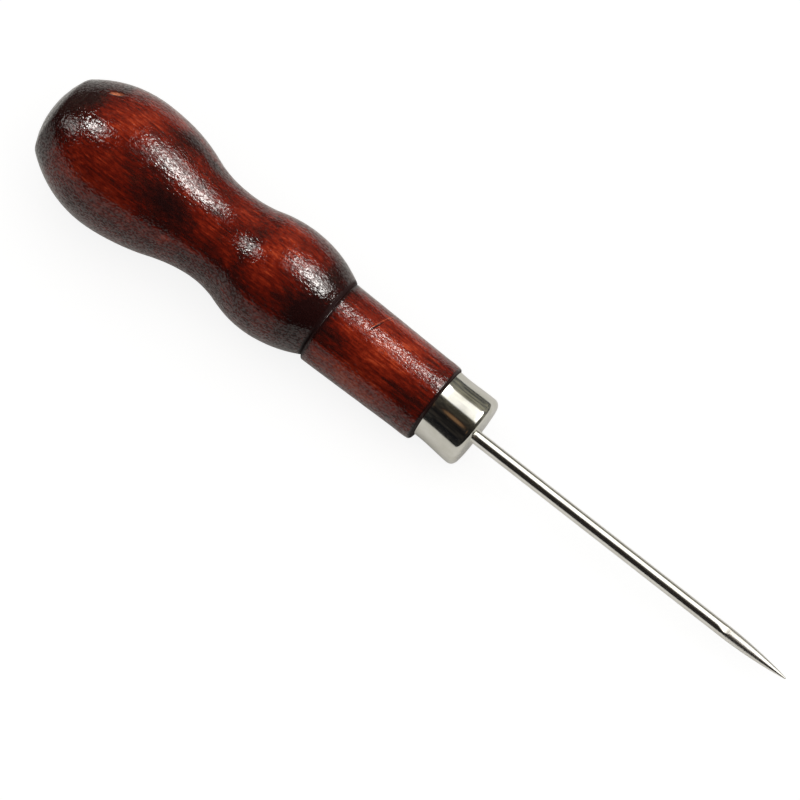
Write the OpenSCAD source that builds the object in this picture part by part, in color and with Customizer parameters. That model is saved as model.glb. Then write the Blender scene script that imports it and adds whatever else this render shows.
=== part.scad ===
// Scratch awl: a pointed steel wire set in a turned wooden handle, with a
// plated cup ferrule over the joint. It lies along +X, with the tip at +X.
// The origin is the middle of the ferrule's front face, where the blade leaves it.

/* [Blade] */
// Blade that stands out of the ferrule, root to tip
blade_out = 54.6; // [40:0.1:80]
// Wire diameter
wire_d = 2; // [1.6:0.1:2.2]
// Length of the ground point
point_len = 11; // [8:0.5:16]
// Tang inside the ferrule and handle
tang_len = 31; // [24:0.5:38]
// Width of the hammered spade at the end of the tang
spade_w = 2.8; // [2.4:0.1:3]
// Thickness of the spade
spade_t = 1.2; // [0.9:0.1:1.4]
// Length of the spade
spade_len = 6; // [4:0.5:8]

/* [Ferrule] */
// Length from the wooden shoulder to the front face
ferrule_len = 7.1; // [6.4:0.1:9]
// Outer diameter at the front corner
ferrule_front_d = 11.08; // [10.9:0.02:11.3]
// Outer diameter where the rim starts
ferrule_rear_d = 10.7; // [10.5:0.02:10.9]
// Sheet thickness
sheet_t = 0.4; // [0.3:0.05:0.45]
// Radius of the front corner
ferrule_corner = 1; // [0.5:0.05:1.2]
// Length of the belled rim at the wood
rim_len = 1.3; // [0.6:0.1:2]
// How far the rim bells outwards
rim_bell = 0.05; // [0.02:0.01:0.15]

/* [Handle neck] */
// Handle length behind the ferrule
handle_len = 68.3; // [67:0.1:70]
// Neck diameter at the ferrule
neck_front_d = 12.3; // [12:0.02:12.8]
// Neck diameter at the groove
neck_rear_d = 13.04; // [12.8:0.02:13.3]
// Distance from the shoulder to the groove
neck_len = 18.9; // [17:0.1:19.5]
// Rounding of the neck's front edge
neck_edge = 0.5; // [0.3:0.05:0.6]
// Width of the groove
groove_w = 0.5; // [0.4:0.05:0.8]
// Depth of the groove
groove_depth = 0.25; // [0.15:0.05:0.4]

/* [Handle bulbs] */
// Distance from the shoulder to the small bulb's crest
small_at = 28.2; // [27.2:0.05:29]
// Diameter of the small bulb
small_d = 17.4; // [17:0.1:18]
// Distance from the shoulder to the waist
waist_at = 38; // [37.2:0.1:38.8]
// Diameter of the waist
waist_d = 14.3; // [14:0.1:14.8]
// Distance from the shoulder to the big bulb's crest
big_at = 55.5; // [54.4:0.05:56.6]
// Diameter of the big bulb
big_d = 20.74; // [20:0.02:21.4]
// Radius that rounds the edge of the butt
butt_edge = 1.6; // [1:0.1:2]

/* [Hidden] */

// Profile radii of the bulbs and the waist
small_front_r = 18.2;
small_back_r = 17;
waist_back_r = 20;
big_back_r = 17.5;
butt_dome_r = 13;

// Fits inside the joint
bore_r = spade_w / 2 + 0.1;
bore_end_gap = 0.4;
drill_point_angle = 118;
wire_hole_r = wire_d / 2 + 0.04;
root_flare = 0.02;
root_len = sheet_t + 0.3;
spade_taper = 1.5;

shoulder_z = -ferrule_len;

$fn = 96;

// Points along an arc, as [radius, z]
function arc(centre, r, from, to, steps) =
    [for (i = [0:steps]) centre + r * [cos(from + (to - from) * i / steps),
                                       sin(from + (to - from) * i / steps)]];

// Sum of the two radii that make a crest and a waist meet in one tangent
function radius_sum(length, drop) = (length * length + drop * drop) / (2 * drop);

// Crest arc and waist arc from a crest down to a waist that lies at a greater z
function crest_to_waist(crest, waist, crest_r) =
    let (total = radius_sum(waist.y - crest.y, crest.x - waist.x),
         turn = asin((waist.y - crest.y) / total))
    concat(arc(crest - [crest_r, 0], crest_r, 0, turn, 8),
           arc(waist + [total - crest_r, 0], total - crest_r, 180 + turn, 180, 8));

// The same from a waist up to a crest that lies at a greater z
function waist_to_crest(waist, crest, waist_r) =
    let (total = radius_sum(crest.y - waist.y, crest.x - waist.x),
         turn = asin((crest.y - waist.y) / total))
    concat(arc(waist + [waist_r, 0], waist_r, 180, 180 - turn, 9),
           arc(crest - [total - waist_r, 0], total - waist_r, -turn, 0, 9));

// Where a circle of radius r1 about c1 meets one of radius r2 about c2, on the outer side
function circles_meet(c1, r1, c2, r2) =
    let (gap = norm(c2 - c1),
         along = (gap * gap + r1 * r1 - r2 * r2) / (2 * gap),
         side = sqrt(r1 * r1 - along * along),
         dir = (c2 - c1) / gap)
    c1 + along * dir + side * [dir.y, -dir.x];

// Big bulb's back, the rounded edge and the domed butt
function butt_outline(crest) =
    let (back = crest - [big_back_r, 0],
         dome = [0, handle_len - butt_dome_r],
         edge = circles_meet(dome, butt_dome_r - butt_edge, back, big_back_r - butt_edge),
         back_turn = atan2(edge.y - back.y, edge.x - back.x),
         dome_turn = atan2(edge.y - dome.y, edge.x - dome.x))
    concat(arc(back, big_back_r, 0, back_turn, 10),
           arc(edge, butt_edge, back_turn, dome_turn, 4),
           arc(dome, butt_dome_r, dome_turn, 90, 4));

// Wooden surface behind the shoulder, as [radius, distance from the shoulder]
function handle_outline() =
    let (small = [small_d / 2, small_at],
         waist = [waist_d / 2, waist_at],
         big = [big_d / 2, big_at],
         flank_turn = asin((small_at - neck_len - groove_w) / small_front_r))
    concat(arc([neck_front_d / 2 - neck_edge, neck_edge], neck_edge, -90, 0, 5),
           [[neck_rear_d / 2, neck_len],
            [neck_rear_d / 2 - groove_depth, neck_len + groove_w / 2]],
           arc(small - [small_front_r, 0], small_front_r, -flank_turn, 0, 10),
           crest_to_waist(small, waist, small_back_r),
           waist_to_crest(waist, big, waist_back_r),
           butt_outline(big));

// One face of the ferrule's sheet, inset from the outer face, from rim to front
function ferrule_outline(inset) =
    concat([[ferrule_rear_d / 2 + rim_bell - inset, shoulder_z],
            [ferrule_rear_d / 2 - inset, shoulder_z + rim_len]],
           arc([ferrule_front_d / 2 - ferrule_corner, -ferrule_corner],
               ferrule_corner - inset, 0, 90, 4));

function reversed(points) = [for (i = [len(points) - 1:-1:0]) points[i]];

// Ground point: an arc that leaves the wire without a step and runs to the tip
function point_outline() =
    let (wire_r = wire_d / 2, curve_r = radius_sum(point_len, wire_r))
    arc([wire_r - curve_r, blade_out - point_len], curve_r, 0, asin(point_len / curve_r), 12);

module along_x() {
    rotate([0, 90, 0]) children();
}

// Hole for the tang: drilled from the front, with the drill's cone at the bottom
module tang_hole() {
    hole_z = -tang_len - bore_end_gap;
    cone_len = bore_r / tan(drill_point_angle / 2);
    rotate_extrude() polygon([[0, hole_z - cone_len], [bore_r, hole_z],
                              [bore_r, -sheet_t], [0, -sheet_t]]);
}

// Turned handle, with the tenon that fills the ferrule
module handle() {
    tenon = ferrule_outline(sheet_t);
    behind = [for (p = handle_outline()) [p.x, shoulder_z - p.y]];
    color([0.36, 0.08, 0.04]) along_x() difference() {
        rotate_extrude() polygon(concat(
            [[0, -sheet_t]], reversed(tenon), [[tenon[0].x, shoulder_z]], behind));
        tang_hole();
    }
}

// Drawn cup pressed over the tenon, with a hole for the wire and a slightly belled rim
module ferrule() {
    color([0.78, 0.77, 0.72]) along_x() difference() {
        rotate_extrude() polygon(concat(
            ferrule_outline(0), [[0, 0], [0, -sheet_t]], reversed(ferrule_outline(sheet_t))));
        translate([0, 0, -2 * sheet_t]) cylinder(r = wire_hole_r, h = 3 * sheet_t);
    }
}

// Wire with a ground point, a slight flare through the ferrule and a flattened tang
module blade_wire() {
    wire_r = wire_d / 2;
    wide_r = spade_w / 2;
    difference() {
        rotate_extrude() polygon(concat(
            [[0, -tang_len], [wire_r, -tang_len],
             [wide_r, -tang_len + spade_taper], [wide_r, -tang_len + spade_len - spade_taper],
             [wire_r, -tang_len + spade_len], [wire_r, -root_len],
             [wire_r + root_flare, -root_len + root_flare], [wire_r, 0]],
            point_outline()));
        for (side = [-1, 1])
            translate([side * (spade_t / 2 + spade_w), 0, -tang_len + spade_len / 2])
                cube([2 * spade_w, 2 * spade_w, spade_len + 1], center = true);
    }
}

module blade() {
    color([0.75, 0.74, 0.71]) along_x() blade_wire();
}

// Cured glue between the tang and its hole
module tang_glue() {
    color([0.85, 0.76, 0.52]) along_x() difference() {
        tang_hole();
        blade_wire();
    }
}

handle();
ferrule();
blade();
tang_glue();
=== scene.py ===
"""Scratch awl: the looks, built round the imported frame. All lengths are in metres unless they end in _mm."""
import math

import bpy
import numpy as np
from mathutils import Matrix, Vector, noise


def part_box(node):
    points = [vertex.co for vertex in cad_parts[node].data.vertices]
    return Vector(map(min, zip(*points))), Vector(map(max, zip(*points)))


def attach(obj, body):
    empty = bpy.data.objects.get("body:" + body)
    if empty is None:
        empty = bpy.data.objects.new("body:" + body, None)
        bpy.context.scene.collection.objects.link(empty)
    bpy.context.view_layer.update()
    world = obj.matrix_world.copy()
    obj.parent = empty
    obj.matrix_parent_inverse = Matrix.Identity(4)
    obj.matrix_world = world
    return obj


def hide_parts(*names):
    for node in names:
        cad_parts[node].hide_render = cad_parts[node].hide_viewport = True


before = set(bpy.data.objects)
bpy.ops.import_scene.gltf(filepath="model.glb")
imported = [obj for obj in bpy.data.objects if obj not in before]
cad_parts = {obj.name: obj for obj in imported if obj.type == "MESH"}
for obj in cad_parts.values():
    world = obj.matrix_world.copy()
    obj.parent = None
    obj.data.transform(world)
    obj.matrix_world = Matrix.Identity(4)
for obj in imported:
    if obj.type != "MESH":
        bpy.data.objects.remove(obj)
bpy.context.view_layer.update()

MM = 0.001
BODY = "root"

# ---------------------------------------------------------------- sizes taken from the frame

ferrule_low, ferrule_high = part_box("ferrule")
blade_low, blade_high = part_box("blade")
glue_low, glue_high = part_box("tang_glue")

FRONT_X = ferrule_high.x
SHOULDER_X = ferrule_low.x
TIP_X = blade_high.x
TANG_X = blade_low.x
BORE_R = glue_high.z
BORE_X = glue_low.x

# Shapes finer than the boxes tell
GROOVE_X = -26.25 * MM
WAIST_X = -45.1 * MM
FERRULE_REAR_R = 5.35 * MM
FERRULE_CORNER = 1.0 * MM
SHEET = 0.4 * MM
RIM_LEN = 1.3 * MM
RIM_BELL = 0.05 * MM
WIRE_R = 1.0 * MM
WIRE_HOLE_R = 1.04 * MM
POINT_LEN = 11 * MM
POINT_END_R = 0.13 * MM
SPADE_LEN = 6 * MM
SPADE_TAPER = 1.5 * MM
SPADE_HALF_THICK = 0.6 * MM
GLUE_FILM = 0.1 * MM
# The drill's point, as its length over its radius
DRILL_POINT = 0.6
# The radius to which a skin closes before the point at its end
LAST_R = 0.02 * MM

# ---------------------------------------------------------------- camera

VIEW_DIR = Vector((0.0924, -0.389, 0.917)).normalized()
VIEW_DISTANCE = 0.7
FRAME_WIDTH = 0.1115
AXIS_TILT = math.radians(38.0)
SENSOR = 36.0
# How far the frame's middle lies from the origin, along the frame's own right and up
MIDDLE_RIGHT = -0.01052
MIDDLE_UP = 0.00509

AXIS = Vector((1, 0, 0))
along_view = (AXIS - VIEW_DIR * VIEW_DIR.x).normalized()
across_view = VIEW_DIR.cross(along_view)
view_right = along_view * math.cos(AXIS_TILT) + across_view * math.sin(AXIS_TILT)
view_up = across_view * math.cos(AXIS_TILT) - along_view * math.sin(AXIS_TILT)
# Straight out of the awl on the camera's side, and across it there
facing = (VIEW_DIR - AXIS * VIEW_DIR.x).normalized()
beside = facing.cross(AXIS)


def aim(obj, place, back, up):
    """Puts obj at place with its local Z along back and its local Y along up."""
    right = up.cross(back).normalized()
    up = back.cross(right).normalized()
    turn = Matrix((right, up, back)).transposed()
    obj.matrix_world = Matrix.Translation(place) @ turn.to_4x4()


def make_camera():
    data = bpy.data.cameras.new("camera")
    data.sensor_width = SENSOR
    data.lens = SENSOR * VIEW_DISTANCE / FRAME_WIDTH
    data.clip_start = 0.01
    data.clip_end = 20
    camera = bpy.data.objects.new("camera", data)
    bpy.context.scene.collection.objects.link(camera)
    middle = view_right * MIDDLE_RIGHT + view_up * MIDDLE_UP
    aim(camera, middle + VIEW_DIR * VIEW_DISTANCE, VIEW_DIR, view_up)
    bpy.context.scene.camera = camera


# ---------------------------------------------------------------- studio

FLOOR_HALF = 3.0
# The room's walls as (degrees round the awl from the camera's side, colour)
ROOM_WALLS = (
    (-120, (0.03, 0.03, 0.03)),
    (-60, (0.02, 0.02, 0.022)),
    (-24, (0.02, 0.018, 0.018)),
    (0, (0.03, 0.027, 0.025)),
    (24, (0.06, 0.055, 0.045)),
    (78, (0.2, 0.2, 0.18)),
    (116, (0.16, 0.16, 0.15)),
)
# The walls are blotchy: their colour is multiplied by one between these two
BLOTCH_DARK = (0.25, 0.27, 0.34)
BLOTCH_LIGHT = (1.5, 1.42, 1.2)
# Brown things standing near the camera, seen in the ferrule: degrees round the awl, lean along it, reach
BROWN_THINGS = ((-11, 7, 6), (-5, -13, 7))
BROWN = (0.22, 0.12, 0.06, 1)
# What matt surfaces get from all round, and the wall that the camera sees
ROOM_FILL = 0.12
SEEN_WALL = (0.9, 0.9, 0.9, 1)

# The table's colour to the awl, and what the camera sees of it: nearly white, with only a faint shadow
TABLE_COLOUR = (0.76, 0.75, 0.73, 1)
TABLE_ROUGHNESS = 0.6
SEEN_PAPER = (0.22, 0.22, 0.22, 1)
SEEN_GLOW = (0.85, 0.85, 0.85, 1)

LAMP_COLOUR = (1.0, 0.985, 0.95)
# Lamps for each part, as (degrees round the awl, distance, start and end along it, height, radiance,
# share of the size over which the edges fade, tilt in degrees)
BLADE_LAMPS = {
    "blade_panel": (48, 0.6, -0.26, 0.43, 0.79, 1.3, 0.14, 0),
    "point_panel": (17, 0.6, 0.04, 0.45, 0.44, 0.9, 0.2, 0),
}
HANDLE_END_LAMPS = {"key_panel": (46, 0.6, -0.15, 0.42, 0.46, 1.15, 0.08, 0)}
FERRULE_LAMPS = {"rim_lamp": (50, 0.6, -0.02, 0.24, 0.42, 6.0, 0.15, 4)}
HANDLE_LAMPS = {
    "key_lamp": (53, 0.6, -0.01, 0.41, 0.42, 4.2, 0.15, 10),
    "key_core": (43.5, 0.58, -0.01, 0.4, 0.15, 17.0, 0.15, 14),
    "neck_core": (51, 0.56, -0.07, -0.02, 0.18, 13.5, 0.15, 0),
    "side_lamp": (20, 0.5, -0.56, -0.31, 0.25, 6.6, 0.3, -41),
    "butt_core": (20, 0.48, -0.63, -0.51, 0.21, 31.0, 0.2, -48),
    "low_lamp": (-9, 0.3, -0.76, -0.52, 0.24, 3.9, 0.2, -63),
}
TABLE_LAMPS = {"table_light": (23, 1.2, -1.6, 1.6, 3.2, 1.0, 0.01, 0)}


def round_awl(turn_deg):
    """A direction square to the awl, turned from the camera's side about its axis."""
    turn = math.radians(turn_deg)
    return facing * math.cos(turn) + beside * math.sin(turn)


def make_softbox(name, turn_deg, distance, start_x, end_x, height, radiance, soft, tilt_deg):
    """An area light beside the awl, with soft edges, as bright per unit of area as radiance says."""
    out = round_awl(turn_deg)
    data = bpy.data.lights.new(name, "AREA")
    data.shape = "RECTANGLE"
    data.size, data.size_y = end_x - start_x, height
    data.energy = radiance * math.pi * data.size * data.size_y
    data.color = LAMP_COLOUR
    data.use_nodes = True
    tree = data.node_tree
    across = put(tree, "SeparateXYZ", {0: put(tree, "NewGeometry").outputs["Parametric"]})
    strength = 1.0
    for share in ("X", "Y"):
        inwards = maths(tree, "PINGPONG", across.outputs[share], 0.5)
        strength = maths(tree, "MULTIPLY", strength, smooth_step(tree, inwards, 0.0, soft))
    tree.links.new(strength, tree.nodes["Emission"].inputs["Strength"])
    light = bpy.data.objects.new(name, data)
    bpy.context.scene.collection.objects.link(light)
    tilt = math.radians(tilt_deg)
    back = out * math.cos(tilt) + AXIS * math.sin(tilt)
    aim(light, AXIS * (start_x + end_x) / 2 + out * distance, back, out.cross(AXIS))
    light.visible_camera = False
    return light


def light_only(objects, name, lamps):
    """Makes lamps that reach these objects and nothing else."""
    reached = bpy.data.collections.new(name)
    for obj in objects:
        reached.objects.link(obj)
    for lamp, values in lamps.items():
        make_softbox(lamp, *values).light_linking.receiver_collection = reached


def make_lights(handle, ferrule, blade, glue, table):
    """Lamps on the awl, and a broad overhead light of the table's own, so that it stays pale and even."""
    light_only([blade], "blade_only", BLADE_LAMPS)
    light_only([handle, ferrule, glue], "handle_end", HANDLE_END_LAMPS)
    light_only([ferrule], "ferrule_only", FERRULE_LAMPS)
    light_only([handle], "handle_only", HANDLE_LAMPS)
    light_only([table], "table_only", TABLE_LAMPS)


def make_world():
    """A dark room seen in reflections, an even fill for the matt surfaces and a pale wall for the camera."""
    world = bpy.data.worlds.new("studio")
    bpy.context.scene.world = world
    world.use_nodes = True
    tree = world.node_tree
    tree.nodes.clear()
    way = put(tree, "TexCoord").outputs["Generated"]
    out = put(tree, "VectorMath", {0: way, 1: facing}, operation="DOT_PRODUCT").outputs["Value"]
    aside = put(tree, "VectorMath", {0: way, 1: beside}, operation="DOT_PRODUCT").outputs["Value"]
    turned = maths(tree, "MULTIPLY_ADD", maths(tree, "ARCTAN2", aside, out), 0.5 / math.pi, 0.5)
    walls = ramp(tree, turned, [(0.5 + deg / 360, colour) for deg, colour in ROOM_WALLS])
    blobs = put(tree, "TexNoise", {"Vector": way, "Scale": 8.0, "Detail": 1.5}).outputs["Fac"]
    patchy = ramp(tree, blobs, [(0.4, BLOTCH_DARK), (0.64, BLOTCH_LIGHT)])
    mixed = put(tree, "Mix", {0: 1.0, 6: walls, 7: patchy}, data_type="RGBA", blend_type="MULTIPLY")
    room = mixed.outputs[2]
    for turn_deg, lean_deg, reach_deg in BROWN_THINGS:
        lean = math.radians(lean_deg)
        middle = round_awl(turn_deg) * math.cos(lean) + AXIS * math.sin(lean)
        near = put(tree, "VectorMath", {0: way, 1: middle}, operation="DOT_PRODUCT").outputs["Value"]
        share = smooth_step(tree, near, math.cos(math.radians(reach_deg)), 1.0)
        room = put(tree, "Mix", {0: share, 6: room, 7: BROWN}, data_type="RGBA").outputs[2]
    path = put(tree, "LightPath")
    dark = put(tree, "Background", {"Color": room})
    fill = put(tree, "Background", {"Color": (1, 1, 1, 1), "Strength": ROOM_FILL})
    wall = put(tree, "Background", {"Color": SEEN_WALL})
    matt = blend(tree, path.outputs["Is Diffuse Ray"], dark, fill)
    seen = blend(tree, path.outputs["Is Camera Ray"], matt, wall)
    put(tree, "OutputWorld", {"Surface": seen.outputs[0]})


def make_floor(lowest_big, lowest_small):
    """A pale table that both bulbs lie on, given as the (x, z) points that touch it."""
    slope = (lowest_small[1] - lowest_big[1]) / (lowest_small[0] - lowest_big[0])
    middle = Vector((0, 0, lowest_big[1] - slope * lowest_big[0]))
    along = Vector((1, 0, slope)).normalized()
    corners = [
        middle + along * FLOOR_HALF * a + Vector((0, FLOOR_HALF * b, 0))
        for a, b in ((-1, -1), (1, -1), (1, 1), (-1, 1))
    ]
    mesh = bpy.data.meshes.new("table")
    mesh.from_pydata(corners, [], [(0, 1, 2, 3)])
    table = bpy.data.objects.new("table", mesh)
    bpy.context.scene.collection.objects.link(table)
    material, shader = new_material("table_paper")
    tree = material.node_tree
    shader.inputs["Base Color"].default_value = TABLE_COLOUR
    shader.inputs["Roughness"].default_value = TABLE_ROUGHNESS
    shader.inputs["Specular IOR Level"].default_value = 0.0
    paper = put(tree, "BsdfDiffuse", {"Color": SEEN_PAPER})
    glow = put(tree, "Emission", {"Color": SEEN_GLOW})
    white = put(tree, "AddShader", {0: paper.outputs[0], 1: glow.outputs[0]})
    both = blend(tree, put(tree, "LightPath").outputs["Is Camera Ray"], shader, white)
    tree.links.new(both.outputs[0], tree.nodes["Material Output"].inputs["Surface"])
    mesh.materials.append(material)
    return table


# ---------------------------------------------------------------- node helpers


def put(tree, kind, inputs=None, **settings):
    """Adds a shader node. An input is given as a value, or as the output that feeds it."""
    made = tree.nodes.new("ShaderNode" + kind)
    for name, value in settings.items():
        setattr(made, name, value)
    for key, value in (inputs or {}).items():
        if isinstance(value, bpy.types.NodeSocket):
            tree.links.new(value, made.inputs[key])
        else:
            made.inputs[key].default_value = value
    return made


def ramp(tree, factor, stops):
    """The colour at factor between stops of (position, colour)."""
    made = put(tree, "ValToRGB", {"Fac": factor})
    elements = made.color_ramp.elements
    while len(elements) < len(stops):
        elements.new(0.5)
    for element, (position, colour) in zip(elements, stops):
        element.position = position
        element.color = (*colour, 1)
    return made.outputs["Color"]


def maths(tree, operation, a, b=0.0, c=0.0):
    return put(tree, "Math", {0: a, 1: b, 2: c}, operation=operation).outputs[0]


def blend(tree, factor, first, second):
    """The first shader node where factor is 0 and the second where it is 1."""
    return put(tree, "MixShader", {0: factor, 1: first.outputs[0], 2: second.outputs[0]})


def smooth_step(tree, value, low, high):
    """0 below low, 1 above high, and smooth between them."""
    limits = {"Value": value, "From Min": low, "From Max": high}
    return put(tree, "MapRange", limits, interpolation_type="SMOOTHSTEP").outputs[0]


def grain_noise(tree, long, wide, detail=2.0, shift=0.0):
    """Noise in the object's own metres, with features about long by wide, stretched along the awl."""
    place = {
        "Vector": put(tree, "TexCoord").outputs["Object"],
        "Location": (shift, shift, shift),
        "Scale": (1 / long, 1 / wide, 1 / wide),
    }
    scaled = put(tree, "Mapping", place).outputs[0]
    return put(tree, "TexNoise", {"Vector": scaled, "Scale": 1.0, "Detail": detail}).outputs["Fac"]


def new_material(name):
    material = bpy.data.materials.new(name)
    material.use_nodes = True
    return material, material.node_tree.nodes["Principled BSDF"]


# ---------------------------------------------------------------- mesh helpers


def arc(centre, radius, start_deg, end_deg, steps):
    """Points (x, r) on an arc whose angle is measured from +r towards +x."""
    angles = np.radians(np.linspace(start_deg, end_deg, steps + 1))
    return np.array(centre) + radius * np.stack([np.sin(angles), np.cos(angles)], 1)


def lathe(profile, segments):
    """Vertices (rings, segments, 3) of a profile of (x, r) turned about X."""
    turn = np.arange(segments) * 2 * np.pi / segments
    rings = np.empty((len(profile), segments, 3))
    rings[..., 0] = profile[:, 0, None]
    rings[..., 1] = profile[:, 1, None] * np.sin(turn)
    rings[..., 2] = profile[:, 1, None] * np.cos(turn)
    return rings


def ring_mesh(name, rings, closed=False):
    """A mesh of stacked rings, with a point at each end, or joined end to start where closed."""
    count, segments = rings.shape[:2]
    points = rings.reshape(-1, 3)
    following = (np.arange(segments) + 1) % segments
    faces = []
    pairs = [(i, i + 1) for i in range(count - 1)] + ([(count - 1, 0)] if closed else [])
    for a, b in pairs:
        one, two = a * segments, b * segments
        faces += [(one + j, two + j, two + k, one + k) for j, k in enumerate(following)]
    if not closed:
        first, last = len(points), len(points) + 1
        ends = [rings[0].mean(0), rings[-1].mean(0)]
        points = np.vstack([points, ends])
        faces += [(first, j, k) for j, k in enumerate(following)]
        top = (count - 1) * segments
        faces += [(last, top + k, top + j) for j, k in enumerate(following)]
    mesh = bpy.data.meshes.new(name)
    mesh.from_pydata(points.tolist(), [], faces)
    mesh.polygons.foreach_set("use_smooth", [True] * len(mesh.polygons))
    mesh.update()
    piece = bpy.data.objects.new(name, mesh)
    bpy.context.scene.collection.objects.link(piece)
    return piece


def set_attribute(piece, name, values):
    """Gives the piece's points these values, and 0 to the two that close its ends."""
    attribute = piece.data.attributes.new(name, "FLOAT", "POINT")
    padded = np.zeros(len(piece.data.vertices), np.float32)
    padded[: values.size] = values.ravel()
    attribute.data.foreach_set("value", padded)


def bump_field(points, size, seed):
    """Smooth noise from -1 to 1 at each point, with bumps about size across."""
    shift = Vector((seed * 17.3, seed * 5.1, seed * 9.7))
    flat = points.reshape(-1, 3) / size
    return np.array([noise.noise(Vector(p) + shift) for p in flat]).reshape(points.shape[:-1])


def uneven(points, layers):
    """The sum of layers of (squash along the awl, size of the bumps, seed, strength) at each point."""
    total = np.zeros(points.shape[:-1])
    for squash, size, seed, strength in layers:
        total += strength * bump_field(points * (squash, 1, 1), size, seed)
    return total


def join(obj, node):
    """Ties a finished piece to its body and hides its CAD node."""
    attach(obj, BODY)
    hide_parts(node)


# ---------------------------------------------------------------- handle

HANDLE_SEGMENTS = 290
# The outline turns by more than this at a sharp corner
SHARP_TURN = math.radians(24)
# The rings' spacing. It closes up to CORNER_GAP within CORNER_REACH of a corner, and is wide again at
# FINE_FADE times that reach
RING_GAP = 0.36 * MM
FINE_FADE = 2.5
CORNER_GAP = 0.1 * MM
CORNER_REACH = 0.6 * MM

# A thin slit across the neck: its upper and lower ends as (x in mm, turn in degrees), and its section
NICK_ENDS = ((-18.6, 78), (-20.3, 20))
NICK_WIDTH = 0.1 * MM
NICK_DEPTH = 0.09 * MM
NICK_LIP = 0.02 * MM
NICK_GAP = 0.06 * MM
NICK_REACH = 1.1 * MM
# It runs out over this share of its length at each end, and it is faint beyond its lower stretch
NICK_RUN_OUT = 0.2
NICK_DEEP_SHARE = (0.22, 0.42)
NICK_FAINT = 0.15
# Painted shade in the slit, a painted highlight on the lip, and the bare wood on the lip, which is part real
# and part painted highlight
SLIT_PAINTED_SHADE = -1.2
LIP_PAINTED_HIGHLIGHT = 0.25
LIP_BARE_AND_HIGHLIGHT = 0.22

# A small chip near the butt: middle (x in mm, turn in degrees), half length, half width, depth and slant
CHIP_AT = (-68.45, 49)
CHIP_LENGTH = 1.15 * MM
CHIP_WIDTH = 0.42 * MM
CHIP_DEPTH = 0.2 * MM
CHIP_SLANT = math.radians(26)
CHIP_STEEPNESS = 2.5
CHIP_GAP = 0.09 * MM
CHIP_REACH = 1.1 * MM

# How far the round parts stray off the axis towards the camera's upper side: the bulbs as (x, stray) in mm,
# the neck, and the two ends of the pressed-on ferrule
BULB_STRAY_MM = (
    (-75.4, -0.09),
    (-61.4, -0.09),
    (-55.4, 0.09),
    (-50.4, 0.0),
    (-46.4, 0.27),
    (-42.4, 0.35),
    (-37.4, 0.22),
    (-31.4, 0.36),
    (-26.5, 0.42),
)
# Each ring takes the mean of the bulbs' stray within this distance
STRAY_BLUR = 3 * MM
NECK_STRAY = 0.08 * MM
FERRULE_STRAY_REAR = 0.45 * MM
FERRULE_STRAY_FRONT = 0.21 * MM

# Unevenness of the skin and of the stain, as (squash along the awl, size, seed, height or strength)
SKIN_BUMPS = ((0.5, 4.5 * MM, 3, 0.04 * MM), (0.7, 1.1 * MM, 2, 0.012 * MM))
STAIN_BLOTCHES = ((0.5, 5.0 * MM, 5, 0.2), (0.6, 2.0 * MM, 8, 0.12))

# Where the stain lies dark (-) or light (+), and the painted shade of the groove and of the gap at the
# shoulder: x in mm, turn in degrees, reach along and round, strength
STAIN_AND_SHADE_PATCHES = (
    (-73.7, 20, 3.1, 200, -0.65),
    (-71.4, 42, 2.6, 24, -0.35),
    (-68.2, 68, 1.0, 14, -0.35),
    (-56.2, 58, 2.2, 8, -0.5),
    (-58.4, 50, 2.2, 6, -0.25),
    (-51.9, 64, 1.4, 6, -0.35),
    (-63.7, 32, 3.6, 34, 0.26),
    (-62.9, -15, 4.0, 22, 0.12),
    (-52.2, -6, 3.4, 16, -0.36),
    (-54.9, -10, 4.5, 16, -0.2),
    (-57.9, 4, 3.0, 10, -0.12),
    (-51.9, -26, 3.0, 6, -0.3),
    (-46.4, -4, 2.6, 12, 0.38),
    (-45.0, 40, 3.0, 22, 0.22),
    (-40.4, 8, 0.9, 30, -0.35),
    (-35.9, 5, 2.4, 32, 0.24),
    (-36.4, 48, 2.6, 14, 0.17),
    (-28.0, 0, 2.0, 200, -0.45),
    (-29.2, -12, 3.4, 22, -0.4),
    # The groove: stain pooled in the crease, and painted shade in it
    (-26.25, 0, 0.35, 200, -1.6),
    (-17.4, 20, 8.5, 60, 0.28),
    (-16.4, -52, 9.0, 18, 0.3),
    (-23.4, -14, 2.4, 10, -0.2),
    (-12.4, -14, 6.0, 4, -0.3),
    (-15.9, -24, 8.0, 4, -0.25),
    # The shoulder: stain soaked into the end grain, and painted shade of the gap to the ferrule
    (-7.1, 0, 0.3, 200, -1.6),
)

# Where the lacquer is dull all round, in the groove and at the shoulder: x and reach in mm
DULL_RINGS = ((-26.35, 0.4), (-7.1, 0.25))


def cad_outline():
    """The handle's outer outline as (x, r) rows from the butt to the shoulder, read from its CAD rings.
    Where the handle is bored, the bore's own points are left out."""
    points = np.array([v.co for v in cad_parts["handle"].data.vertices])
    x, r = points[:, 0], np.hypot(points[:, 1], points[:, 2])
    bored = x > BORE_X - 1e-6
    keep = (x < SHOULDER_X + 1e-6) & (~bored | (r > 2 * BORE_R))
    x, r = x[keep], r[keep]
    rows = []
    for value in np.unique(np.round(x, 7)):
        rows.append((value, r[np.abs(x - value) < 2e-7].max()))
    return np.array(rows)


def turns(rows):
    """The angle by which an outline turns at each of its inner rows."""
    step = np.diff(rows, axis=0)
    angle = np.arctan2(step[:, 1], step[:, 0])
    return np.abs(np.diff(angle))


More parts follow.
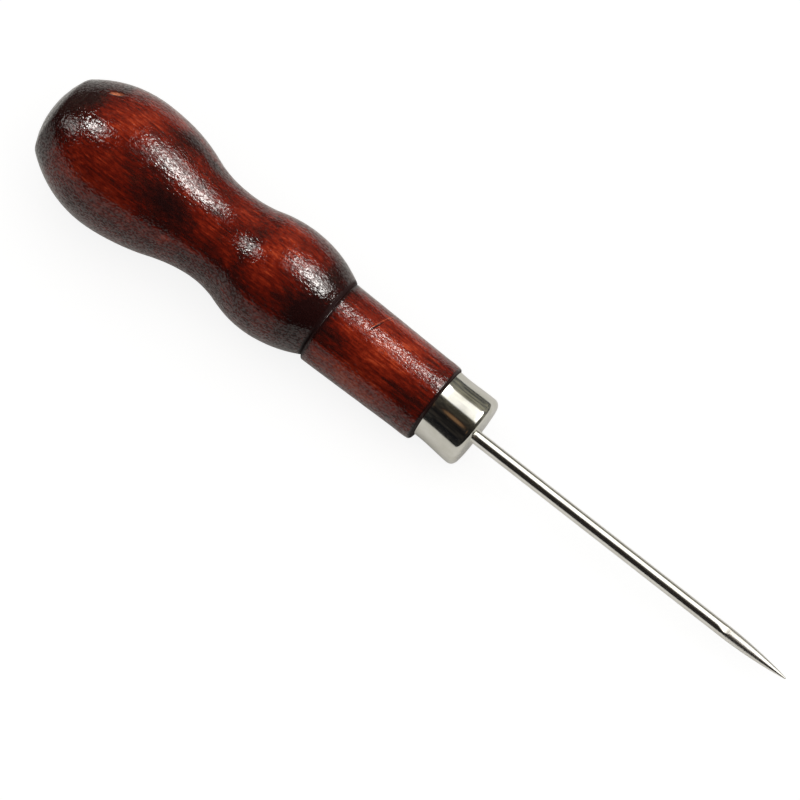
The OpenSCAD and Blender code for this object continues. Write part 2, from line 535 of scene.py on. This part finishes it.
def smooth_outline(rows, per_span):
    """Puts a smooth curve through the outline's rows, which stays sharp where the outline turns sharply."""
    step = np.diff(rows, axis=0)
    length = np.hypot(step[:, 0], step[:, 1])
    heading = step / length[:, None]
    sharp = turns(rows) > SHARP_TURN
    out = [rows[0]]
    for i, (a, b) in enumerate(zip(rows[:-1], rows[1:])):
        before = heading[i]
        after = heading[i]
        if i and not sharp[i - 1]:
            before = (heading[i - 1] * length[i] + heading[i] * length[i - 1]) / (length[i] + length[i - 1])
        if i + 1 < len(heading) and not sharp[i]:
            after = (heading[i] * length[i + 1] + heading[i + 1] * length[i]) / (length[i] + length[i + 1])
        for t in np.linspace(0, 1, per_span + 1)[1:]:
            out.append(
                a * (2 * t**3 - 3 * t**2 + 1)
                + before * length[i] * (t**3 - 2 * t**2 + t)
                + b * (3 * t**2 - 2 * t**3)
                + after * length[i] * (t**3 - t**2)
            )
    return np.array(out)


def spread_rings(curve, fine_spots):
    """Rows along a curve, RING_GAP apart, and closer near each fine spot of (x, gap, reach)."""
    gaps = np.hypot(*np.diff(curve, axis=0).T)
    run = np.concatenate([[0], np.cumsum(gaps)])
    gap = np.full(len(curve), RING_GAP)
    for x, fine, reach in fine_spots:
        away = np.abs(curve[:, 0] - x)
        gap = np.minimum(gap, np.interp(away, [reach, FINE_FADE * reach], [fine, RING_GAP]))
    count = np.concatenate([[0], np.cumsum(gaps / ((gap[1:] + gap[:-1]) / 2))])
    at = np.interp(np.arange(0, count[-1], 1.0), count, run)
    return np.stack([np.interp(at, run, curve[:, k]) for k in (0, 1)], 1)


def stain_and_shade_tone(rings, turn_deg):
    """The tone at each point of the handle, from the patches and from soft blotches all round: the stain, and
    painted shade at the groove and the shoulder.
    """
    x = rings[..., 0]
    tone = uneven(rings, STAIN_BLOTCHES)
    for at, turned, along, around, strength in STAIN_AND_SHADE_PATCHES:
        off_x = (x / MM - at) / along
        off_turn = (turn_deg - turned + 180) % 360 - 180
        tone += strength * np.exp(-(off_x**2) - (off_turn / around) ** 2)
    return tone


def wood_stray(x):
    """How far each ring strays: smoothly along the bulbs, and all alike on the neck."""
    stray = np.array(BULB_STRAY_MM) * MM
    offsets = np.linspace(-STRAY_BLUR, STRAY_BLUR, 13)
    bulbs = np.mean([np.interp(x + off, stray[:, 0], stray[:, 1]) for off in offsets], 0)
    return np.where(x > GROOVE_X, NECK_STRAY, bulbs)


def nick_shape(x, turn_deg):
    """How deep each point lies in the nick's slit, and how high on the lip beside it, each from 0 to 1."""
    (x_top, top), (x_low, low) = NICK_ENDS
    share = (turn_deg - low) / (top - low)
    middle = (x_low + (x_top - x_low) * share) * MM
    fade = np.clip(np.minimum(share, 1 - share) / NICK_RUN_OUT, 0, 1)
    off = (x - middle) / NICK_WIDTH
    slit = np.exp(-(off**2)) * fade * np.interp(share, NICK_DEEP_SHARE, (1, NICK_FAINT))
    lip = np.exp(-((off + 2) ** 2)) * fade
    return slit, lip


def chip_shape(x, turn_deg, radius):
    """How deep each point lies in the chip, from 0 to 1. Its sides are steep and its floor is flat."""
    along = x - CHIP_AT[0] * MM
    around = np.radians(turn_deg - CHIP_AT[1]) * radius
    length = along * math.cos(CHIP_SLANT) + around * math.sin(CHIP_SLANT)
    width = around * math.cos(CHIP_SLANT) - along * math.sin(CHIP_SLANT)
    edge = 1 - np.hypot(length / CHIP_LENGTH, width / CHIP_WIDTH)
    return np.clip(edge * CHIP_STEEPNESS, 0, 1)


def build_handle():
    """The turned wood, with its nick, its chip and its tenon and bore. Returns it with its outer skin."""
    rows = cad_outline()
    corners = rows[1:-1][turns(rows) > SHARP_TURN][:, 0]
    fine_spots = [(x, CORNER_GAP, CORNER_REACH) for x in (*corners, rows[-1, 0])]
    fine_spots.append((sum(end[0] for end in NICK_ENDS) / 2 * MM, NICK_GAP, NICK_REACH))
    fine_spots.append((CHIP_AT[0] * MM, CHIP_GAP, CHIP_REACH))
    outline = spread_rings(smooth_outline(rows, per_span=8), fine_spots)
    outline = outline[outline[:, 1] > LAST_R]
    tenon_r = FERRULE_REAR_R - SHEET
    shoulder_r = outline[-1, 1] - 0.1 * (outline[-1, 1] - tenon_r)
    # The shoulder face, the tenon inside the ferrule and the bore, with how far each ring strays
    inside = np.array(
        [
            (SHOULDER_X, shoulder_r, NECK_STRAY),
            (SHOULDER_X, tenon_r, FERRULE_STRAY_REAR),
            (FRONT_X - FERRULE_CORNER, tenon_r, FERRULE_STRAY_FRONT),
            (FRONT_X - SHEET, tenon_r + SHEET - FERRULE_CORNER, FERRULE_STRAY_FRONT),
            (FRONT_X - SHEET, BORE_R, 0),
            (BORE_X + BORE_R * DRILL_POINT, BORE_R, 0),
            (BORE_X, LAST_R, 0),
        ]
    )
    rings = lathe(np.vstack([outline, inside[:, :2]]), HANDLE_SEGMENTS)
    skin = rings[: len(outline)]
    out = skin * (0, 1, 1)
    out /= np.linalg.norm(out, axis=-1, keepdims=True)
    turn_deg = np.degrees(np.arctan2(out @ np.array(beside), out @ np.array(facing)))
    tone = stain_and_shade_tone(rings, turn_deg[:1])

    slit, lip = nick_shape(skin[..., 0], turn_deg)
    chip = chip_shape(skin[..., 0], turn_deg, outline[:, 1, None])
    height = uneven(skin, SKIN_BUMPS) + lip * NICK_LIP - slit * NICK_DEPTH - chip * CHIP_DEPTH
    skin += out * height[..., None]
    stray = np.concatenate([wood_stray(outline[:, 0]), inside[:, 2]])
    rings += np.array(beside) * stray[:, None, None]
    # Painted shade in the slit and a painted highlight on the lip
    tone[: len(outline)] += lip * LIP_PAINTED_HIGHLIGHT + slit * SLIT_PAINTED_SHADE
    # Bare wood in the chip, and on the nick's lip, where it is partly a painted highlight
    bare_and_highlight = np.zeros(tone.shape)
    bare_and_highlight[: len(outline)] = np.maximum(chip, lip * LIP_BARE_AND_HIGHLIGHT)
    # Dull where the wood is bare or cut, in the dull rings and on all the inside faces
    rough = np.ones(tone.shape)
    dull = [np.exp(-(((outline[:, 0] / MM - at) / reach) ** 2)) for at, reach in DULL_RINGS]
    rough[: len(outline)] = np.maximum(np.maximum(slit, chip), np.max(dull, 0)[:, None])
    piece = ring_mesh("turned_handle", rings)
    set_attribute(piece, "tone", tone)
    set_attribute(piece, "bare_and_highlight", bare_and_highlight)
    set_attribute(piece, "rough", rough)
    piece.data.materials.append(wood_material())
    join(piece, "handle")
    return piece, skin


# ---------------------------------------------------------------- ferrule

FERRULE_SEGMENTS = 256


def build_ferrule():
    """A cup of thin sheet with a hole for the wire in its front face, pressed on a little askew."""
    front_r = ferrule_high.z
    corner_at = (FRONT_X - FERRULE_CORNER, front_r - FERRULE_CORNER)
    rim_x = SHOULDER_X + RIM_LEN

    def skin(inset):
        """One face of the sheet: a belled rim, a wall that swells to the front and a round corner."""
        t = np.linspace(0, 1, 10)[:-1]
        rim = np.stack([SHOULDER_X + RIM_LEN * t, FERRULE_REAR_R + RIM_BELL * (1 - t) ** 2], 1)
        t = np.linspace(0, 1, 18)[:-1]
        swell = (front_r - FERRULE_REAR_R) * t * t * (3 - 2 * t)
        wall = np.stack([rim_x + (corner_at[0] - rim_x) * t, FERRULE_REAR_R + swell], 1)
        corner = arc(corner_at, FERRULE_CORNER - inset, 0, 90, 12)
        return np.vstack([rim - (0, inset), wall - (0, inset), corner])

    outer, inner = skin(0), skin(SHEET)
    face = [(FRONT_X, r) for r in np.linspace(corner_at[1], WIRE_HOLE_R, 10)[1:]]
    back = [(FRONT_X - SHEET, WIRE_HOLE_R)]
    profile = np.vstack([outer, face, back, inner[::-1]])
    rings = lathe(profile, FERRULE_SEGMENTS)
    stray = np.interp(profile[:, 0], (SHOULDER_X, FRONT_X), (FERRULE_STRAY_REAR, FERRULE_STRAY_FRONT))
    # The hole stays centred on the wire
    stray *= np.clip((profile[:, 1] - WIRE_HOLE_R) / (corner_at[1] - WIRE_HOLE_R), 0, 1)
    rings += np.array(beside) * stray[:, None, None]
    piece = ring_mesh("nickel_ferrule", rings, closed=True)
    piece.data.materials.append(nickel_material())
    join(piece, "ferrule")
    return piece


# ---------------------------------------------------------------- blade

BLADE_SEGMENTS = 96
# A little flat filed where the grinding of the point starts: turn in degrees, depth, place and reach
FLAT_TURN = 14
FLAT_DEPTH = 0.11 * MM
FLAT_AT = 0.4 * MM
FLAT_REACH = 0.6 * MM
# How strongly the grinding shows, by the distance in mm past its start
GROUND_AT_MM = (0.4, 0.8, 5, 8)
GROUND_SHARE = (0, 1, 1, 0.4)


def build_blade():
    """A wire with a spade at the end of its tang and a long point, whose outline is one shallow arc."""
    drop = WIRE_R - POINT_END_R
    length = POINT_LEN - POINT_END_R
    curve_r = (length**2 + drop**2) / (2 * drop)
    reach = np.linspace(0, 1, 110) * length
    point = np.stack([TIP_X - POINT_LEN + reach, WIRE_R - curve_r + np.sqrt(curve_r**2 - reach**2)], 1)
    end = arc((TIP_X - POINT_END_R, 0), POINT_END_R, 10, 85, 5)
    shank = np.stack([np.linspace(FRONT_X, TIP_X - POINT_LEN, 90)[:-1], np.full(89, WIRE_R)], 1)
    wide = BORE_R - GLUE_FILM
    tang = np.array(
        [
            (TANG_X, WIRE_R),
            (TANG_X + SPADE_TAPER, wide),
            (TANG_X + SPADE_LEN - SPADE_TAPER, wide),
            (TANG_X + SPADE_LEN, WIRE_R),
            (FRONT_X - 2 * SHEET, WIRE_R),
        ]
    )
    profile = np.vstack([tang, shank, point, end])
    rings = lathe(profile, BLADE_SEGMENTS)
    spade = rings[: len(tang) - 1, :, 2]
    np.clip(spade, -SPADE_HALF_THICK, SPADE_HALF_THICK, out=spade)
    past = rings[..., 0] - TIP_X + POINT_LEN
    flat_out = np.array(round_awl(FLAT_TURN))
    height = rings @ flat_out
    cut = FLAT_DEPTH * np.exp(-(((past - FLAT_AT) / FLAT_REACH) ** 2))
    rings -= flat_out * np.clip(height - WIRE_R + cut, 0, cut)[..., None]
    piece = ring_mesh("steel_blade", rings)
    set_attribute(piece, "ground", np.interp(past / MM, GROUND_AT_MM, GROUND_SHARE))
    piece.data.materials.append(steel_material())
    join(piece, "blade")
    return piece


# ---------------------------------------------------------------- materials

# Layers of noise in the wood and its lacquer, as (long, wide, detail, shift)
FIBRES = (3.5 * MM, 0.3 * MM, 2.0, 0.0)
MOTTLE = (0.9 * MM, 0.45 * MM, 2.0, 3.0)
CLOUDS = (6.0 * MM, 2.5 * MM, 2.0, 7.0)
STREAKS = (5.0 * MM, 0.26 * MM, 1.0, 15.0)
PITS = (0.34 * MM, 0.26 * MM, 0.0, 11.0)
RIPPLES = (0.6 * MM, 0.45 * MM, 1.0, 21.0)
PORES = (0.4 * MM, 0.26 * MM, 1.0, 31.0)
# The stain's colour by its tone, which also carries painted shade and a painted highlight, and the bare wood's
# by its fibres
STAIN_COLOURS = (
    (0.0, (0.012, 0.003, 0.0028)),
    (0.3, (0.031, 0.004, 0.0028)),
    (0.55, (0.075, 0.0052, 0.0024)),
    (0.8, (0.15, 0.012, 0.0042)),
    (1.0, (0.27, 0.034, 0.011)),
)
BARE_COLOURS = ((0.3, (0.12, 0.025, 0.012)), (0.65, (0.36, 0.12, 0.06)))
MEAN_TONE = 0.488
# Relief of the lacquered skin
PIT_DEPTH = 0.006 * MM
RIPPLE_RELIEF = 0.05 * MM
FIBRE_RELIEF = 0.009 * MM
LACQUER_ROUGHNESS = 0.055
LACQUER_IOR = 1.5
# The wood's own gloss under the lacquer, and its roughness: at least, by its mottle, and where it is dull
WOOD_GLOSS = 0.1
WOOD_ROUGHNESS = 0.05
MOTTLE_ROUGHNESS = 0.08
DULL_ROUGHNESS = 0.5
# The share of the lacquer that stays in the open pores
PORE_FILM = 0.2


def wood_material():
    """Deep red-brown stain over fine grain, under a glossy lacquer that leaves the pores partly open."""
    material, shader = new_material("stained_wood")
    tree = material.node_tree
    # The tone carries the stain, with painted shade at the groove, the shoulder and in the nick's slit, and a
    # painted highlight on the nick's lip
    tone = put(tree, "Attribute", attribute_name="tone").outputs["Fac"]
    # Bare wood shows in the chip and on the nick's lip, where it is partly a painted highlight
    bare_and_highlight = put(tree, "Attribute", attribute_name="bare_and_highlight").outputs["Fac"]
    rough = put(tree, "Attribute", attribute_name="rough").outputs["Fac"]
    fibres = grain_noise(tree, *FIBRES)
    mottle = grain_noise(tree, *MOTTLE)
    clouds = grain_noise(tree, *CLOUDS)
    streaks = smooth_step(tree, grain_noise(tree, *STREAKS), 0.6, 0.74)
    value = maths(tree, "ADD", tone, MEAN_TONE)
    for grain, strength in ((fibres, 0.75), (mottle, 0.65), (clouds, 0.5)):
        value = maths(tree, "MULTIPLY_ADD", maths(tree, "SUBTRACT", grain, 0.5), strength, value)
    value = maths(tree, "MULTIPLY_ADD", streaks, 0.2, value)
    stain = ramp(tree, value, STAIN_COLOURS)
    raw_wood = ramp(tree, fibres, BARE_COLOURS)
    colour = put(tree, "Mix", {0: bare_and_highlight, 6: stain, 7: raw_wood}, data_type="RGBA").outputs[2]
    pits = smooth_step(tree, grain_noise(tree, *PITS), 0.44, 0.58)
    height = maths(tree, "MULTIPLY", grain_noise(tree, *RIPPLES), RIPPLE_RELIEF)
    height = maths(tree, "MULTIPLY_ADD", pits, -PIT_DEPTH, height)
    height = maths(tree, "MULTIPLY_ADD", fibres, FIBRE_RELIEF, height)
    bump = put(tree, "Bump", {"Height": height, "Distance": 1.0, "Strength": 1.0})
    roughness = maths(tree, "MULTIPLY_ADD", mottle, MOTTLE_ROUGHNESS, WOOD_ROUGHNESS)
    roughness = maths(tree, "MULTIPLY_ADD", rough, DULL_ROUGHNESS, roughness)
    filled = smooth_step(tree, grain_noise(tree, *PORES), 0.43, 0.55)
    film = maths(tree, "MULTIPLY_ADD", filled, 1.0 - PORE_FILM, PORE_FILM)
    film = maths(tree, "MULTIPLY", film, maths(tree, "SUBTRACT", 1.0, rough))
    shader.inputs["IOR"].default_value = LACQUER_IOR
    shader.inputs["Specular IOR Level"].default_value = WOOD_GLOSS
    shader.inputs["Coat Roughness"].default_value = LACQUER_ROUGHNESS
    shader.inputs["Coat IOR"].default_value = LACQUER_IOR
    tree.links.new(film, shader.inputs["Coat Weight"])
    tree.links.new(bump.outputs[0], shader.inputs["Coat Normal"])
    tree.links.new(colour, shader.inputs["Base Color"])
    tree.links.new(roughness, shader.inputs["Roughness"])
    tree.links.new(bump.outputs[0], shader.inputs["Normal"])
    return material


def metal_material(name, dark, light, gloss, dull, long, wide, relief):
    """Metal worn from dark to light, whose roughness (gloss to dull) and relief have marks long by wide."""
    material, shader = new_material(name)
    tree = material.node_tree
    wear = grain_noise(tree, 2.6 * MM, 1.8 * MM, 3.0, 5.0)
    marks = grain_noise(tree, long, wide, 2.0, 9.0)
    tree.links.new(ramp(tree, wear, [(0.35, dark), (0.6, light)]), shader.inputs["Base Color"])
    spread = maths(tree, "MULTIPLY_ADD", marks, dull - gloss, gloss)
    tree.links.new(spread, shader.inputs["Roughness"])
    bump = put(tree, "Bump", {"Height": marks, "Distance": relief, "Strength": 1.0})
    tree.links.new(bump.outputs[0], shader.inputs["Normal"])
    shader.inputs["Metallic"].default_value = 1.0
    return material


def nickel_material():
    """Bright plate, faintly marked round the cup."""
    return metal_material(
        "nickel_plate",
        dark=(0.74, 0.73, 0.66),
        light=(0.84, 0.83, 0.78),
        gloss=0.1,
        dull=0.14,
        long=0.3 * MM,
        wide=3.0 * MM,
        relief=0.001 * MM,
    )


# The ground point is rougher than the wire by this much, and scratched this deep
GROUND_ROUGHNESS = 0.14
GRINDING_RELIEF = 0.02 * MM


def steel_material():
    """Drawn wire, bright along the shank and ground rough towards the point."""
    material = metal_material(
        "polished_steel",
        dark=(0.84, 0.82, 0.77),
        light=(0.95, 0.94, 0.9),
        gloss=0.1,
        dull=0.2,
        long=4.0 * MM,
        wide=0.12 * MM,
        relief=0.0015 * MM,
    )
    tree = material.node_tree
    shader = tree.nodes["Principled BSDF"]
    ground = put(tree, "Attribute", attribute_name="ground").outputs["Fac"]
    roughness, normal = shader.inputs["Roughness"], shader.inputs["Normal"]
    spread = maths(tree, "MULTIPLY_ADD", ground, GROUND_ROUGHNESS, roughness.links[0].from_socket)
    tree.links.new(spread, roughness)
    grinding = grain_noise(tree, 0.16 * MM, 0.9 * MM, 2.0, 13.0)
    scratches = {
        "Height": maths(tree, "MULTIPLY", grinding, ground),
        "Distance": GRINDING_RELIEF,
        "Strength": 1.0,
        "Normal": normal.links[0].from_socket,
    }
    tree.links.new(put(tree, "Bump", scratches).outputs[0], normal)
    return material


def glue_material():
    """Amber epoxy, cloudy with fine bubbles."""
    material, shader = new_material("cured_glue")
    tree = material.node_tree
    clouds = grain_noise(tree, 1.2 * MM, 0.8 * MM, 3.0, 17.0)
    colour = ramp(tree, clouds, [(0.35, (0.62, 0.45, 0.2)), (0.65, (0.85, 0.74, 0.48))])
    tree.links.new(colour, shader.inputs["Base Color"])
    tree.links.new(maths(tree, "MULTIPLY_ADD", clouds, 0.3, 0.15), shader.inputs["Roughness"])
    bump = put(tree, "Bump", {"Height": clouds, "Distance": 0.05 * MM, "Strength": 1.0})
    tree.links.new(bump.outputs[0], shader.inputs["Normal"])
    return material


# ---------------------------------------------------------------- the scene


def dress_glue():
    """The glue keeps its CAD mesh, which is hidden in the handle, and gets a material of its own."""
    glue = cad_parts["tang_glue"]
    glue.data.materials.clear()
    glue.data.materials.append(glue_material())
    return glue


def lowest_point(skin):
    """Where a part of the handle's skin touches the table, as (x, z)."""
    points = skin.reshape(-1, 3)
    lowest = points[np.argmin(points[:, 2])]
    return lowest[0], lowest[2]


bpy.context.scene.view_settings.view_transform = "Standard"
make_camera()
make_world()
handle, skin = build_handle()
glue = dress_glue()
ferrule = build_ferrule()
blade = build_blade()

big_bulb = skin[:, 0, 0] < WAIST_X
table = make_floor(lowest_point(skin[big_bulb]), lowest_point(skin[~big_bulb]))
make_lights(handle, ferrule, blade, glue, table)
